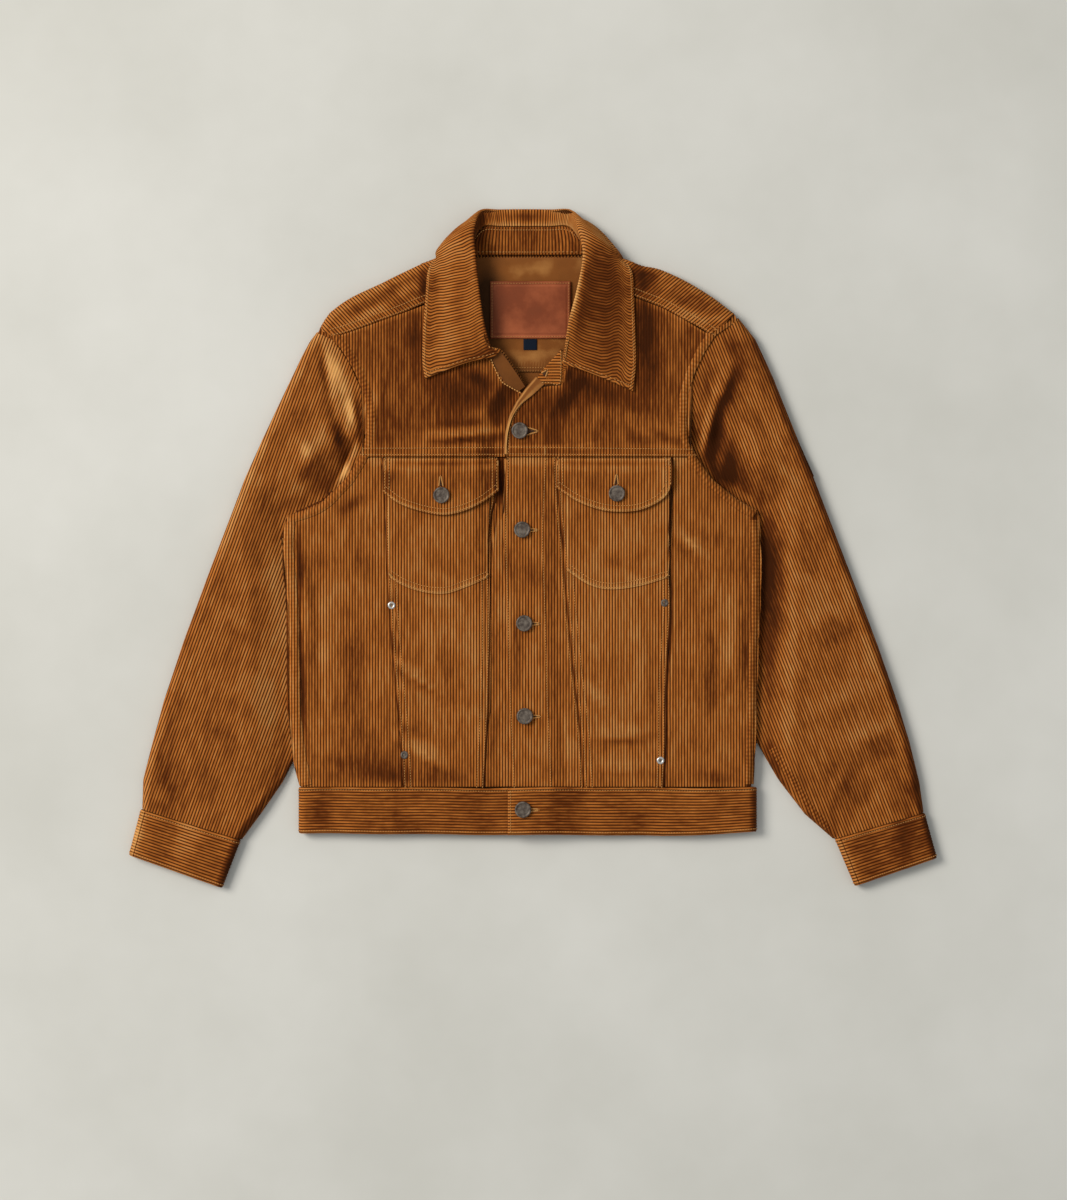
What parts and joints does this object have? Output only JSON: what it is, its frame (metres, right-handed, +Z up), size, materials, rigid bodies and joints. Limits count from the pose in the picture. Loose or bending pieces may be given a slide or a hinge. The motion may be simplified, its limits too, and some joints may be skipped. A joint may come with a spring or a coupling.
{
  "type": "corduroy jacket",
  "caption": "Waist-length corduroy jacket laid flat and buttoned, with pointed collar, chest flap pockets, long sleeves, cuffs and waistband.",
  "frame": {"origin": "centre of the bounding box, on the surface that the jacket lies on", "axes": "+X to the right sleeve as seen from above, +Y towards the collar, +Z up from the surface"},
  "size_m": [0.891, 0.7488, 0.0313],
  "materials": {
    "corduroy": "matte wide-wale cotton corduroy",
    "lining_twill": "matte cotton twill",
    "leather": "smooth brown leather",
    "navy_tape": "woven tape",
    "gunmetal": "dark gunmetal plating",
    "nickel": "nickel plating",
    "dark_metal": "dark plating"
  },
  "bodies": {
    "root": {"back_panel": "corduroy", "back_yoke": "corduroy", "front_yoke_left": "corduroy", "front_yoke_right": "corduroy", "side_panel_left": "corduroy", "side_panel_right": "corduroy", "pocket_panel_left": "corduroy", "pocket_panel_right": "corduroy", "center_panel_left": "corduroy", "center_panel_right": "corduroy", "pocket_left": "corduroy", "pocket_right": "corduroy", "flap_left": "corduroy", "flap_right": "corduroy", "collar": "corduroy", "collar_stand": "corduroy", "sleeve_upper_left": "corduroy", "sleeve_upper_right": "corduroy", "sleeve_under_left": "corduroy", "sleeve_under_right": "corduroy", "cuff_left": "corduroy", "cuff_right": "corduroy", "waistband": "corduroy", "yoke_facing": "lining_twill", "front_facing_right": "lining_twill", "leather_patch": "leather", "size_tab": "navy_tape", "button_1": "gunmetal", "button_2": "gunmetal", "button_3": "gunmetal", "button_4": "gunmetal", "button_5": "gunmetal", "flap_button_left": "gunmetal", "flap_button_right": "gunmetal", "rivet_left_upper": "nickel", "rivet_right_lower": "nickel", "rivet_left_lower": "dark_metal", "rivet_right_upper": "dark_metal"}
  },
  "joints": []
}
